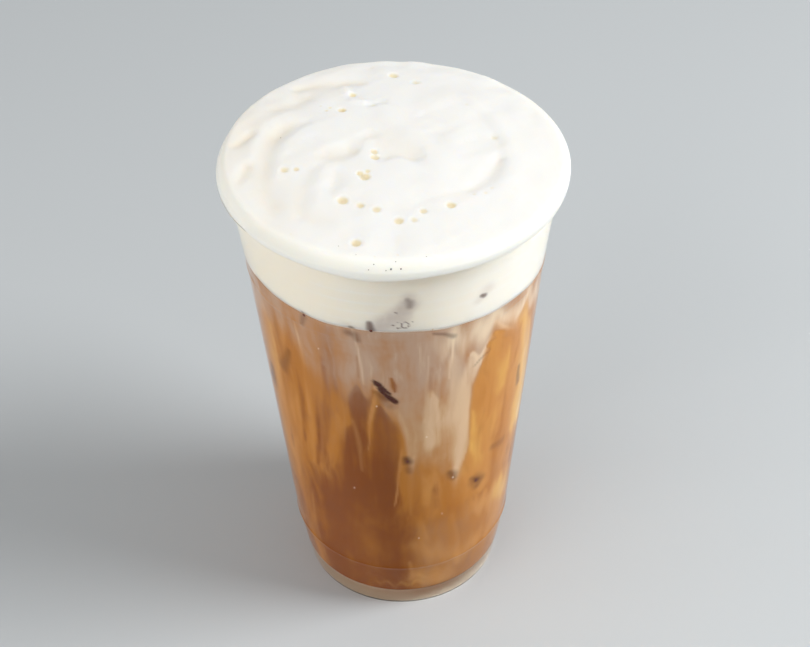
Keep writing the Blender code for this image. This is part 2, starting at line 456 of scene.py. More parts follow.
def cup_section(settings):
    """Section of the cup as points (r, z), from the middle of its floor up the inner wall, round the rolled rim,
    down the outer wall and under the base. The wall's rows are closest at its rings. Faint moulding lines, a sine
    wave of 0.02 mm, ripple the outside above the foam line."""
    wall, floor, skirt = settings.wall, settings.floor, settings.skirt
    foot, bead_r = 0.3 * MM, RIM_RADIUS - BEAD
    inner_foot = float(wall_radius(floor)) - wall
    levels = np.unique(np.concatenate(
        [np.linspace(floor + 2 * FILLET, 149.6 * MM, 60)]
        + [ring + RING_HALF * np.linspace(-1.0, 1.0, 9) for ring in RING_LEVELS]
    ))
    ripple = 0.02 * MM * np.sin(levels / (1.1 * MM) * math.tau) * smooth(131 * MM, 135 * MM, levels)
    inside = np.stack((wall_radius(levels) - wall, levels), axis=1)
    outside = np.stack((wall_radius(levels) + ripple, levels), axis=1)[::-1]
    recess, ceiling = WALL_RADII[0] - skirt, floor - wall
    return np.concatenate((
        [(0.2 * MM, floor), (inner_foot * 0.5, floor)],
        arc(inner_foot - FILLET, floor + FILLET, FILLET, -90, 0, 6),
        inside,
        arc(bead_r, RIM_LEVEL, BEAD, 180, -120, 26),
        outside,
        [(float(wall_radius(floor)), floor), (float(wall_radius(foot * 2)), foot * 2)],
        arc(WALL_RADII[0] - foot, foot, foot, 0, -90, 3),
        arc(recess + foot, foot, foot, -90, -180, 3),
        arc(recess - FILLET, ceiling - FILLET, FILLET, 0, 90, 5),
        [(recess * 0.5, ceiling), (0.2 * MM, ceiling)],
    ))


def under_foam(rows):
    """Rows of the cup with the bead drawn in a little towards its own middle wherever foam laps over it."""
    x, y, level = rows[..., 0], rows[..., 1], rows[..., 2]
    reach = np.hypot(x, y)
    middle = RIM_RADIUS - BEAD
    share = 0.25 * foam_cover(np.degrees(np.arctan2(x, -y))) * smooth(151.2 * MM, 151.9 * MM, level)
    scale = 1.0 + share * (middle - reach) / reach
    return np.stack((x * scale, y * scale, level + share * (RIM_LEVEL - level)), axis=-1)


def clear_plastic(settings):
    """Clear plastic that refracts, with faint haze, and lets lamps shine through. Round the base its colour is warm:
    painted light that stands for light coming through the coffee.
    """
    make = Finish("clear_plastic")
    spots = make.noise(make.place(), 260.0, 2.0)
    # Below 7.5 mm the plastic takes the skirt's colour, as painted light from the coffee
    low = make.parts(make.place())[2].step(7.5 * MM, 6.0 * MM)
    plastic = make.principled(
        base_color=make.mix(low, rgba(settings.tint), rgba(settings.skirt_light)),
        roughness=spots.step(0.35, 0.75) * 0.03 + 0.015,
        transmission_weight=1.0,
        ior=1.27,
        normal=make.bump(make.noise(make.place(), 90.0, 1.0), 0.08, 0.0004),
    )
    shadow = make.node("ShaderNodeLightPath").out("Is Shadow Ray")
    clear = make.node("ShaderNodeBsdfTransparent", None, {"Color": (0.97, 0.97, 0.965, 1.0)}).out()
    return make.finish(make.node("ShaderNodeMixShader", None, {0: shadow, 1: plastic, 2: clear}).out())


class DRINK_OT_cup(bpy.types.Operator):
    """Makes the clear plastic cup"""

    bl_idname = "drink.cup"
    bl_label = "Cup"

    def execute(self, context):
        settings = context.scene.drink_cup
        section = cup_section(settings)
        turn = np.arange(settings.sides) * math.tau / settings.sides
        mesh = skin("cup_wall", under_foam(turned(section[:, :1], section[:, 1:], turn)))
        place("cup_wall", mesh, clear_plastic(settings), "clear_plastic", "cup")
        return {"FINISHED"}


# Coffee

# Lines painted on the drink's side: opacity, softness of the edge as a share of the half width, and points of
# angle, height and half width, the last two in mm. Deep coffee first
DEEP_LINES = (
    (0.95, 0.5, ((-16.6, 101.0, 2.5), (-17.0, 97, 3.0), (-18.5, 88, 3.3), (-19.5, 78, 4.0), (-20, 66, 5.5))),
    (1.0, 0.35, ((-7.8, 94.2, 2.0), (-7.4, 90, 3.2), (-7.6, 82, 4.2), (-8.2, 74, 4.6), (-9, 66, 5.4),
                 (-11, 54, 7.0))),
    (0.7, 0.8, ((-24, 86, 1.6), (-26, 76, 3.4), (-27, 64, 5.0), (-25, 52, 8.0))),
    (0.95, 0.5, ((-17, 58, 8.0), (-19, 46, 13.0), (-23, 32, 16.5), (-22, 14, 15.0))),
    (0.5, 0.8, ((-30, 112, 0.8), (-33, 95, 1.4), (-36, 80, 1.4), (-38, 66, 1.4))),
    (0.45, 0.8, ((-43, 102, 0.8), (-45, 86, 1.2), (-47, 70, 1.0))),
    (0.35, 0.8, ((-55, 92, 0.8), (-57, 78, 1.2), (-58, 64, 1.0))),
    (0.85, 0.9, ((-66, 42, 3.5), (-65, 28, 5.5), (-62, 12, 6.0))),
    (0.35, 0.9, ((7, 72, 2.0), (11, 63, 3.0), (9, 54, 2.0))),
    (0.35, 0.9, ((43, 50, 2.0), (53, 47.5, 3.0))),
    (0.25, 1.0, ((41, 76, 4.0), (42, 62, 5.0))),
    (0.6, 1.0, ((-26, 124, 2.4), (-27, 112, 3.4), (-27, 100, 3.0))),
    (0.5, 1.0, ((-45, 62, 3.0), (-42, 50, 5.0), (-40, 40, 5.0))),
    (0.5, 0.9, ((-24, 22, 3.0), (-8, 21, 3.5))),
    (0.4, 0.9, ((12, 33, 2.5), (20, 28, 3.0), (24, 22, 2.0))),
    (0.3, 0.9, ((46, 30, 3.0), (58, 26, 3.0))),
    (0.45, 0.7, ((37.5, 112.5, 1.2), (35.5, 109.5, 0.9))),
)
# Amber window at the right, painted light where light comes through the drink, with a crisp edge that cuts the milk
# beside it
WINDOW_LINES = (
    (1.0, 0.14, ((43.0, 108.2, 5.4), (41.5, 104, 6.5), (40.5, 99, 7.0), (39.6, 90, 6.8), (40, 80, 6.6),
                 (40.5, 73, 6.0))),
    (0.45, 0.3, ((42.6, 114.4, 2.8), (47.0, 111.0, 3.6), (50.0, 107.0, 3.8), (49.0, 100.0, 3.0))),
    (1.0, 0.4, ((39.6, 117.3, 0.9), (42.4, 115.4, 1.8))),
    (1.0, 0.3, ((37.4, 113.9, 1.4), (41.0, 112.5, 2.8))),
    (1.0, 0.55, ((40.5, 74, 6.0), (41, 62, 5.0), (42, 52, 4.0))),
)
# Pale gold at the right edge and below the window's left edge, painted light where light comes through thin milk
BLOND_LINES = (
    (0.8, 1.0, ((55, 119, 1.6), (60, 110, 2.6), (64, 100, 3.6), (67, 86, 4.2), (69, 66, 4.0))),
    (0.22, 1.0, ((31.6, 88, 0.7), (33.4, 76, 2.4), (34.2, 66, 3.4), (34.0, 60, 2.4))),
    (0.12, 1.0, ((56, 40, 3.0), (66, 34, 3.0))),
)
# Lighter coffee between the dark fingers, and painted light where light comes through the drink near its left and
# right edges
LIGHT_LINES = (
    (0.85, 0.7, ((58, 108, 2.5), (58, 92, 5.0), (60, 70, 6.0), (62, 45, 6.0), (60, 28, 5.0))),
    (0.9, 0.8, ((-60, 118, 3.0), (-62, 95, 4.5), (-62, 70, 4.5), (-58, 52, 3.0))),
    (0.6, 0.8, ((-47, 122, 1.4), (-49, 100, 2.2), (-52, 80, 3.0), (-55, 62, 3.0))),
    (0.5, 0.8, ((-39, 118, 1.0), (-40, 98, 1.6), (-42, 78, 2.0), (-44, 62, 2.0))),
    (0.35, 0.8, ((-29, 88, 1.2), (-32, 74, 1.4), (-35, 62, 1.4))),
    (0.6, 0.9, ((12, 70, 3.0), (16, 58, 4.0), (18, 47, 3.0))),
    (0.7, 0.9, ((30, 60, 4.0), (40, 44, 5.0), (54, 40, 6.0), (64, 38, 5.0))),
    (0.6, 0.9, ((44, 24, 4.0), (64, 20, 5.0))),
    (0.7, 0.9, ((6, 16, 2.5), (14, 17, 3.0), (24, 15, 3.0))),
    (0.9, 0.8, ((-14, 11, 1.2), (-4, 10.4, 1.5), (10, 11, 1.5), (24, 11.5, 1.6))),
    (0.5, 0.9, ((10, 43, 2.0), (12, 30, 2.5))),
)
# Light that shines through: in the window's upper right and low in the drink
GOLD_LINES = (
    (0.55, 1.0, ((54.5, 110, 1.6), (51.5, 105, 3.6), (49.0, 99, 4.2), (47, 93, 3.0))),
    (0.6, 1.0, ((44, 42, 4.0), (56, 38, 6.0), (68, 34, 5.0))),
    (0.5, 0.9, ((54, 98, 2.0), (57, 84, 2.4), (60, 66, 2.4))),
    (0.3, 1.0, ((32, 74, 1.6), (35, 64, 3.2), (37, 58, 2.6))),
    (0.5, 1.0, ((18, 27, 4.0), (34, 24, 5.0), (48, 26, 5.0))),
    (0.35, 1.0, ((-9, 11.4, 2.0), (0, 12.4, 2.6), (9, 13.4, 2.6))),
    (0.6, 0.9, ((64, 80, 2.0), (66, 60, 2.6))),
    (0.6, 0.9, ((54, 45, 3.0), (64, 35, 3.0))),
    (0.6, 0.9, ((8, 14, 1.4), (20, 13.5, 1.8))),
    (0.5, 0.9, ((-58, 116, 2.0), (-60, 100, 2.4), (-61, 84, 1.6))),
    (0.35, 0.9, ((14, 64, 1.6), (15, 54, 2.0))),
)
# Milk: fingers and threads that hang down, and soft clouds
MILK_LINES = (
    (0.9, 0.95, ((37, 114, 1.4), (32, 108, 2.4), (28.0, 100, 3.4), (26, 88, 3.8), (26.5, 76, 3.4), (28, 66, 2.2))),
    (0.55, 0.8, ((28, 68, 1.8), (28.5, 61, 1.2))),
    (0.8, 0.7, ((36.2, 111.9, 0.5), (33.6, 111.6, 1.0), (31, 110.6, 1.1))),
    (0.6, 0.9, ((28.8, 102, 1.0), (27.9, 94, 1.2), (28.2, 84, 1.2))),
    (0.75, 0.95, ((22, 123, 5.0), (34, 121, 5.5), (46, 121.5, 3.0), (58, 118, 4.0))),
    (0.6, 0.7, ((38, 119.5, 0.6), (46, 117.5, 0.8), (53, 112.5, 0.8), (55.5, 107, 0.5))),
    (0.75, 0.6, ((-11.4, 105.5, 0.35), (-10.9, 100, 0.55), (-12.7, 92, 0.55), (-14.6, 79.7, 0.25))),
    (0.5, 0.9, ((-9.5, 101.5, 1.0), (-11.5, 97, 1.2), (-13.2, 92, 0.7))),
    (0.45, 0.9, ((-21.5, 90, 0.8), (-19.5, 80, 1.4), (-18.0, 68, 0.6))),
    (0.4, 0.9, ((-4, 98, 1.0), (0, 88, 1.8), (1.5, 78, 1.6), (-1.2, 68, 1.0))),
    (0.7, 0.7, ((-1.2, 78, 0.4), (-2.0, 68, 0.8), (-3.2, 54, 0.3))),
    (0.45, 0.8, ((-17, 127, 0.4), (-15.5, 118, 0.5), (-15, 108, 0.5))),
    (0.40, 0.9, ((5, 78, 1.0), (5.6, 64, 1.2), (4.6, 49, 0.5))),
    (0.6, 0.7, ((22.6, 124, 0.3), (22.0, 114, 0.5), (21.0, 105, 0.4))),
    (0.5, 0.8, ((-39.6, 127, 0.4), (-39, 115, 0.5), (-39.5, 104, 0.7), (-41.5, 88, 0.8))),
    (0.35, 0.9, ((-54.5, 106, 0.9), (-53.5, 82, 1.2), (-52.5, 64, 0.8))),
    (0.3, 0.9, ((-25, 104, 0.5), (-26, 92, 0.7), (-28, 80, 0.5))),
    (0.40, 0.9, ((26, 46, 0.5), (28.5, 34, 0.9), (30, 20, 1.1))),
    (0.35, 0.9, ((-46, 44, 1.0), (-49, 29, 1.3), (-47, 15, 0.9))),
    (0.35, 0.9, ((11.5, 42, 0.8), (12.4, 36, 0.9))),
    (0.40, 0.9, ((2, 23, 0.8), (4, 14, 1.3))),
    (0.55, 0.9, ((61, 113, 1.4), (65, 98, 1.8), (67, 80, 1.4))),
    (0.35, 0.8, ((-47.5, 104, 0.5), (-49, 86, 0.9), (-50.5, 66, 0.6))),
    (0.3, 0.8, ((-34.5, 100, 0.4), (-35, 84, 0.7), (-37, 64, 0.5))),
    (0.3, 0.9, ((11, 118, 0.5), (10, 106, 0.8), (11, 90, 0.6))),
    (0.30, 0.9, ((52, 60, 1.2), (60, 52, 1.6), (66, 40, 1.4))),
    (0.45, 1.0, ((6, 32, 3.0), (14, 27, 5.0), (26, 24, 6.0), (38, 24, 5.0))),
    (0.40, 1.0, ((4, 14, 3.0), (14, 13, 4.0), (26, 13, 4.0))),
    (0.9, 1.0, ((14, 100, 2.0), (16, 90, 3.8), (15, 80, 3.0))),
    (0.6, 1.0, ((43, 117, 1.4), (50, 114, 2.6), (57, 107, 2.8), (60, 98, 2.2))),
    (0.6, 1.0, ((54, 122, 3.5), (66, 118, 5.0), (78, 114, 5.0))),
    (0.2, 1.0, ((-54, 126, 3.0), (-62, 121, 4.5), (-72, 117, 5.0))),
    (0.5, 1.0, ((22, 112, 3.0), (24, 102, 3.6), (24, 92, 3.0))),
)
# Dark halos where ice lies close behind the plastic
ICE_LINES = (
    (1.0, 0.3, ((-9.4, 108.6, 0.60), (-8.2, 107.5, 1.05), (-6.2, 105.8, 0.65), (-3.4, 103.7, 0.30))),
    (1.0, 0.3, ((-7.9, 105.6, 0.50), (-5.4, 103.4, 0.62), (-3.1, 101.6, 0.95), (-1.4, 100.3, 0.90))),
    (0.3, 0.9, ((-9.2, 104.4, 0.6), (-7.0, 103.2, 1.1), (-5.0, 101.6, 1.0))),
    (0.45, 0.9, ((36.4, 112.0, 0.2), (32.7, 110.2, 0.35), (30.2, 108.4, 0.2))),
    (0.25, 0.9, ((-8.2, 103.2, 1.2), (-5.5, 100.0, 1.6), (-3.0, 98.2, 1.2))),
    (0.8, 0.9, ((2.4, 75.0, 1.1), (3.0, 73.6, 1.4))),
    (0.4, 0.9, ((3.2, 70.5, 1.0), (3.4, 69.0, 1.0))),
    (0.5, 0.9, ((34.5, 57.4, 1.0), (37, 55.8, 2.4), (40.2, 54.8, 1.7), (38, 52.6, 1.4))),
    (0.6, 0.8, ((36.5, 56.4, 0.6), (38.2, 55.2, 1.0))),
    (0.3, 0.9, ((46, 66.5, 1.2), (54, 65, 1.6))),
    (0.6, 0.9, ((60.2, 93.5, 0.7), (60.4, 90, 1.0), (61.5, 86, 1.1))),
    (0.4, 0.9, ((-47.5, 109, 0.9), (-50, 104.5, 1.4), (-53.5, 99.5, 2.0))),
    (0.6, 0.9, ((-67, 92, 1.6), (-69, 86, 2.2))),
    (0.4, 0.9, ((-35.8, 128, 0.9), (-37.2, 124.5, 0.6))),
    (0.45, 0.9, ((-18, 127.0, 1.1), (-15.4, 126.6, 1.1), (-14.6, 124.6, 0.8))),
    (0.5, 0.9, ((13, 126.6, 0.4), (17, 125.6, 0.5), (20.6, 123.8, 0.8))),
    (0.55, 0.9, ((22.4, 64.8, 1.1), (23.8, 63.4, 1.6), (24.4, 62.0, 1.1))),
)
# Clear brown threads in the haze, the ones beside the ice at the front foremost
OCHRE_LINES = (
    (0.8, 0.7, ((-2.8, 110, 0.5), (-2.0, 107, 0.9), (-1.6, 104.6, 0.5))),
    (0.35, 0.9, ((-15.5, 118, 0.4), (-15.2, 113, 0.5), (-15.2, 109.5, 0.3))),
    (0.5, 0.9, ((-9.4, 104.2, 0.7), (-7.2, 102.8, 1.2), (-5.0, 101.2, 1.1))),
    (0.35, 0.9, ((12.5, 113, 0.5), (12.0, 106, 0.8), (12.4, 101, 0.4))),
    (0.35, 0.9, ((-30, 110, 0.7), (-30.5, 103, 1.0), (-31, 97, 0.6))),
)
# Height in mm down to which the milky haze hangs, by angle
HAZE_ANGLES = (
    -90, -70, -50, -40, -33, -26, -20, -16, -12, -9, -4, 0, 4, 10, 16, 22, 28, 31, 33, 38, 46, 54, 62, 72, 90,
)
HAZE_LEVELS = (
    108, 113, 119, 114, 100, 99, 102, 105, 104, 98, 92, 82, 73, 72, 70, 64, 62, 64, 108, 118, 117, 113, 109, 104, 104,
)
# How much of that haze shows, by angle
HAZE_SHARE_ANGLES = (-180, -75, -45, -38, -27, -16, -9, 44, 54, 64, 80, 110, 180)
HAZE_SHARES = (0.85, 0.6, 0.5, 0.66, 0.62, 0.9, 1.0, 0.95, 0.5, 0.25, 0.35, 0.85, 0.85)


# Way round the cup's wall per degree, in mm
MM_PER_DEG = 0.70


def back_line(rng, foot, top, wide, run):
    """A seeded line that hangs down somewhere on the sides or back, with a slow lean and a narrow end. Its length
    is a seeded share of the height from foot to top, between the two that run gives."""
    turn = rng.uniform(78, 282)
    start = rng.uniform(foot + 0.45 * (top - foot), top)
    end = start - rng.uniform(*run) * (top - foot)
    lean = rng.uniform(-4, 4)
    return ((turn, start, 0.4 * wide), (turn + 0.4 * lean, 0.5 * (start + end), wide), (turn + lean, end, 0.3 * wide))


def painted(angle, height, lines, seed, count=0, high=(0.0, 1.0), wide=(0.0, 1.0), run=(0.2, 0.45)):
    """Mask of painted lines, the front ones as given and a count of seeded ones for the sides and back. Degrees
    become mm on a cup of 40 mm radius. Each line covers what is left uncovered by those before it."""
    rng = np.random.default_rng(seed)
    lines = [*lines]
    for _ in range(count):
        line = back_line(rng, *high, rng.uniform(*wide), run)
        lines.append((rng.uniform(0.35, 0.95), rng.uniform(0.4, 0.8), line))
    mask = np.zeros_like(angle)
    for opacity, soft, line in lines:
        middle = line[0][0]
        around = angle_between(angle, middle) * MM_PER_DEG
        local = [((turn - middle) * MM_PER_DEG, level, half) for turn, level, half in line]
        cover = 1.0 - smooth(1.0 - soft, 1.0 + soft, nearness(around, height, local))
        mask = mask + opacity * cover * (1.0 - mask)
    return mask


def coffee_masks(angle, level, seed):
    """Six masks over the wall: haze that hangs from the foam, shine, which is lighter coffee and painted light where
    light comes through the drink (amber up to 1, gold above 1, blond above 2), deep brown, milk lines, brown that
    darkens towards the bottom with painted shade at the front left, and dark halos of ice. Most lines are moved
    sideways and up or down a little by soft random fields, so that none runs straight."""
    height = level / MM
    sway = 0.9 * drift(seed, angle / 7.0, height / 16.0) + 0.5 * drift(seed + 1, angle / 2.5, height / 9.0)
    lift = 1.6 * drift(seed + 2, angle / 2.2, height / 30.0, waves=13)
    turn, high = angle + sway, height + lift
    front = angle_between(angle, 0.0)

    # Haze with a soft lower edge, ragged at the sides and back, and a thin veil below it
    edge = np.interp(angle_between(turn, 0.0), HAZE_ANGLES, HAZE_LEVELS)
    ragged = np.abs(front) > 80
    edge = edge + np.where(ragged, 9.0 * drift(seed + 3, angle / 6.0, height * 0.0, waves=13) - 4.0, 0.0)
    haze = smooth(-9.0, 9.0, high - edge)
    haze = np.maximum(haze, 0.30 * smooth(-30.0, 6.0, high - edge) * smooth(46.0, 70.0, high))
    share = np.interp(front, HAZE_SHARE_ANGLES, HAZE_SHARES)
    haze = haze * np.maximum(share, 0.8 * smooth(107.0, 119.0, height) * smooth(36.0, 52.0, np.abs(front)))

    # Thin milk low in the drink, at the front right
    thin = 0.3 * smooth(0.0, 14.0, front) * smooth(76.0, 58.0, front) * smooth(50.0, 38.0, height)
    haze = np.maximum(haze, thin)

    # Painted lines, and the window, which cuts the haze and the milk beside it
    ochre = painted(angle, height, OCHRE_LINES, seed)
    window = painted(angle + 0.5 * sway, height + 0.2 * lift, WINDOW_LINES, seed)
    blond = painted(turn, high, BLOND_LINES, seed)
    deep = painted(turn, high, DEEP_LINES, seed + 10, 26, (35, 108), (1.2, 6.0))
    light = painted(turn, high, LIGHT_LINES, seed + 11, 16, (25, 112), (2.0, 8.0))
    gold = painted(turn, high, GOLD_LINES, seed + 14, 10, (25, 112), (1.0, 3.0))
    milk = painted(turn, high, MILK_LINES, seed + 12, 40, (30, 124), (0.6, 1.8))
    cut = 1.0 - window * smooth(66.0, 80.0, height)
    deep = np.maximum(deep, ochre) * (1.0 - 0.8 * window)
    haze = haze * (1.0 - ochre) * cut * (1.0 - 0.75 * blond)
    milk = milk * cut
    # Brown that darkens the drink towards the bottom, and painted shade at its front left, on the side away from the
    # lamp on the right
    low = smooth(70.0, 40.0, high) * (1.0 - 0.66 * smooth(-6.0, 8.0, front)) * smooth(-66.0, -40.0, front)
    low = np.maximum(low, smooth(52.0, 26.0, high) * 0.42)
    ice = painted(angle, height, ICE_LINES, seed + 13, 16, (60, 130), (0.7, 1.8), (0.02, 0.10))
    shine = (np.maximum(light, window) + gold) * (1.0 - blond) + 3.0 * blond
    return haze, shine, deep, milk, low, ice


def coffee_rows(sides=420, high=216):
    """Rows of the coffee: a top disc just above the foam line, tucked into the foam, the side just inside the
    plastic and the bottom."""
    angle = np.arange(sides) * 360.0 / sides
    turn = np.radians(angle)
    top = boundary_level(angle)
    share = np.append(0.0, np.linspace(0.0003, 1.0, high))[:, None]
    level = top + (FLOOR + FILLET - top) * share
    radius = wall_radius(level, share=0.25) - REACH
    corner = arc(0.0, FLOOR + FILLET, FILLET, 0, -90, 5)[1:]
    low_radius = wall_radius(FLOOR + FILLET) - REACH - FILLET + corner[:, 0, None] * np.ones(sides)
    low_level = corner[:, 1, None] * np.ones(sides)
    tuck = radius[:1] - 0.25 * MM
    inner = np.array((0.01, 0.4, 0.8))[:, None]
    radius = np.concatenate((inner * tuck, tuck, tuck, radius, low_radius, inner[::-1] * low_radius[-1]))
    level = np.concatenate((
        BOUNDARY_LEVEL + MM + inner * (top - BOUNDARY_LEVEL), top[None] + MM, top[None] + 0.05 * MM, level,
        low_level, np.full((3, sides), FLOOR),
    ))
    return turned(radius, level, turn)


def coffee_finish(settings):
    """Milky coffee: tan to amber and deep brown by the painted masks, under hazy milk, with fine threads drawn
    out downwards."""
    make = Finish("iced_coffee")
    haze, light, deep = make.masks("drink")
    milk, low, ice = make.masks("marks")
    spot = make.place()
    rise = make.parts(spot)[2]
    below = 1.0 - rise.step(FLOOR, FLOOR + 0.2 * MM)
    swirl = make.stretched(make.noise(spot, 45.0, 2.0, key="Color"), (0.006, 0.006, 0.012))
    warped = make.shifted(spot, swirl)
    fine = make.threads(warped, 800.0, 0.06, 4.0, roughness=0.6)
    bands = make.threads(warped, 300.0, 0.07, 5.0)
    wide = make.threads(warped, 120.0, 0.25, 5.0, roughness=0.55)
    clouds = make.threads(warped, 85.0, 0.7, 5.0, 4.0, 0.6)

    shine = light + bands * 0.34 + clouds * 0.38 + wide * 0.28 + fine * 0.14
    # Coffee: tan, then amber, gold and blond where light comes through, then brown
    base = make.mix(shine.step(-0.1, 1.2), rgba(settings.tan), rgba(settings.amber))
    base = make.mix((light - 1.0 + wide * 0.35 + clouds * 0.15).step(0.0, 1.1), base, rgba(settings.gold))
    base = make.mix((light - 1.9 + bands * 0.3 + clouds * 0.2).step(0.0, 1.2), base, rgba(settings.blond))
    # The low mask darkens the drink towards the bottom and paints shade at its front left
    streaks = (bands * 0.30 + fine * 0.14) * (1.0 - low * 0.6)
    dark = deep.most(low * 0.92) + streaks + clouds * 0.30 + wide * 0.2 - light * 0.25
    base = make.mix(dark.step(-0.1, 1.1), base, rgba(settings.brown))
    # Milk over it: haze, threads and fresh milk, paler near the foam, and the halos of ice
    mist = make.mix(rise.step(80 * MM, 112 * MM), rgba(settings.low_haze), rgba(settings.haze))
    veil = haze * (0.85 + bands * 0.20 + wide * 0.35 + clouds * 0.30 + fine * 0.08)
    base = make.mix(veil.step(-0.15, 1.15), base, mist)
    thread = (fine * 0.5 + bands * 0.7).step(0.1, 1.4) * haze * 0.35
    fresh = (milk * (0.95 + wide * 0.30 + bands * 0.2 + fine * 0.12)).step(0.0, 1.1) * 0.85
    cream = make.mix(rise.step(98 * MM, 122 * MM), rgba(settings.cream), rgba(settings.milk))
    pale = make.mix(haze.step(0.2, 0.9), rgba(settings.caramel), cream)
    base = make.mix(fresh.most(thread), base, pale)
    base = make.mix(ice * 0.93, base, rgba(settings.shade))
    surface = make.principled(
        base_color=base,
        roughness=0.5,
        specular_ior_level=0.0,
        # Painted light: the drink's underside glows for light that comes through its bottom
        emission_color=make.mix(below, BLACK, rgba(settings.glow)),
        emission_strength=1.0,
    )
    return make.finish(surface)


class DRINK_OT_coffee(bpy.types.Operator):
    """Makes the coffee, which reaches just into the wall of the cup"""

    bl_idname = "drink.coffee"
    bl_label = "Coffee"

    def execute(self, context):
        settings = context.scene.drink_coffee
        rows = coffee_rows()
        mesh = skin("coffee_body", rows)
        x, y, level = rows.reshape(-1, 3).T
        angle = np.degrees(np.arctan2(x, -y))
        masks = coffee_masks(angle, level, settings.seed)
        paint(mesh, "drink", *masks[:3])
        paint(mesh, "marks", *masks[3:])
        place("coffee_body", mesh, coffee_finish(settings), "coffee", "coffee")
        return {"FINISHED"}


# Foam

# Swirls, as the solid has them: start and end angle from +X in degrees, radius at each in mm, depth and half
# width in mm
SWIRLS = (
    (46, -8, 27.5, 29.0, 0.12, 3.0),
    (-8, -62, 29.0, 27.5, 0.30, 3.0),
    (-62, -122, 28.0, 26.5, 0.25, 3.2),
    (155, 204, 29.0, 34.0, 0.30, 3.2),
    (104, 130, 34.5, 36.0, 0.15, 2.6),
    (180, 232, 18.5, 24.0, 0.20, 3.4),
    (20, 62, 16.0, 18.0, 0.20, 2.6),
)
DOME_EDGE = 45.5 * MM

# How far the foam hangs down in front of the rolled rim, in mm, by angle round the cup
LAP_ANGLES = (-180, -75, -58, -45, -10, 60, 110, 180)
LAP_DROPS = (0.2, 0.0, 0.1, 0.9, 1.9, 1.5, 0.6, 0.2)

# Three-sided hollow in the middle: each side as a point on it, its outward direction in degrees from +X and its
# softness in mm, and the depth at the front side
HOLLOW_SIDES = (((0.0, -6.6), -92.0, 1.9), ((5.6, 0.0), 24.0, 4.2), ((-6.0, 0.0), 190.0, 3.5))
HOLLOW_DEPTH = 0.95

# Folds of the foam: depth (ridges are below 0) and points x, y and half width, all in mm
FOLDS = (
    (0.2, ((28, 6, 1.4), (29.3, 0, 1.8), (29.2, -5, 1.8))),
    (0.55, ((29.2, -5, 1.4), (27.2, -10.5, 2.2), (24.5, -15, 2.2), (20.5, -19, 1.9))),
    (0.2, ((19, -20, 1.6), (12, -22.5, 1.6), (7, -24, 1.4))),
    (0.2, ((19.5, 24, 1.8), (24, 17, 1.8), (28, 8, 1.8), (30, 2, 1.6))),
    (-0.3, ((22, 25, 2.5), (28, 16.5, 3.0), (32.5, 7, 3.0), (34.5, -3, 3.0), (33, -12, 3.0), (28, -20, 2.5))),
    (0.2, ((22, 12, 4.0), (24, 2, 5.0), (20, -10, 4.0))),
    (-0.3, ((12, -4, 5.0), (11, -12, 6.0), (5, -18, 4.0))),
    (-0.4, ((-3.5, 19, 2.2), (2, 12, 2.4), (7, 5, 2.2), (9.8, -1, 2.0), (9.8, -6, 1.6))),
    (0.2, ((10.5, 8, 2.0), (13, 5, 1.8))),
    (-0.3, ((-3, -11, 2.4), (2, -10.6, 2.4), (8.5, -10.8, 2.6))),
    (-0.3, ((-6.5, 2, 1.4), (-8.2, -4, 1.6))),
    (0.35, ((-5.5, 5.0, 1.8), (-8.5, 2.5, 2.6), (-11, -1.0, 3.0))),
    (0.95, ((-12, -2.5, 3.0), (-14.5, -3.4, 3.4), (-17, -4.0, 3.0))),
    (-0.5, ((-17, 9, 2.8), (-24, 8, 3.2), (-29, 3.5, 3.0), (-31, -3, 2.6), (-31.5, -12, 2.2))),
    (0.4, ((-24, 12.0, 1.8), (-29.5, 10.0, 2.8), (-32.8, 6, 3.0))),
    (0.55, ((-31, 9.0, 2.6), (-32.8, 6, 2.8), (-34.3, 0, 3.2), (-35.2, -8, 3.2), (-35, -17, 3.2), (-32, -25, 3.0))),
    (-0.3, ((-30, 16.5, 2.2), (-36, 13, 2.2), (-38.5, 4, 2.0), (-39, -3, 2.0))),
    (0.9, ((-44.5, 3.5, 1.8), (-42, 5.5, 2.3), (-39.5, 8.2, 1.8))),
    (0.7, ((-42.5, -13.5, 1.6), (-41, -10.5, 2.2), (-39.8, -7.0, 1.8))),
    (-0.5, ((-17.5, -9.5, 2.2), (-19, -13, 2.6), (-20, -19, 2.8), (-20, -25, 2.4))),
    (0.4, ((-22.5, -11, 2.2), (-23.8, -17, 2.8), (-25, -24, 2.8), (-24.5, -29, 2.4))),
    (0.3, ((-14.6, -13, 2.0), (-15.0, -17, 2.4), (-16.5, -20, 1.8))),
    (0.25, ((-23, -31, 2.6), (-18, -31.5, 2.6))),
    (0.6, ((-26, 31.8, 2.2), (-20, 33.0, 2.5), (-14, 34, 2.3), (-9, 33.2, 2.0))),
    (0.6, ((-33, 20.2, 2.2), (-28, 22.3, 2.8), (-24.5, 25, 2.4))),
    (0.25, ((-28, 31, 1.4), (-26.5, 27, 1.6))),
    (-0.7, ((-13.6, 30, 1.5), (-12.6, 27.2, 1.4))),
    (-0.55, ((-11, 22, 1.6), (-8.2, 21.5, 1.4))),
    (0.45, ((-6.5, 19.8, 1.2), (-3, 21.2, 1.6))),
    (-0.25, ((-4.2, -10.2, 1.1), (-3.0, -10.4, 1.0))),
    (0.2, ((-14, -38, 2.2), (-13, -43, 2.2))),
    (0.2, ((0, -38, 2.0), (0.5, -44, 2.0))),
    (-0.2, ((7, -37, 2.4), (8, -44, 2.4))),
    (0.2, ((15, -36, 2.2), (17, -42, 2.0))),
    (-0.2, ((-7, -37, 2.2), (-7, -44, 2.2))),
    (-0.25, ((-24, -33, 2.2), (-26, -38, 2.0))),
)

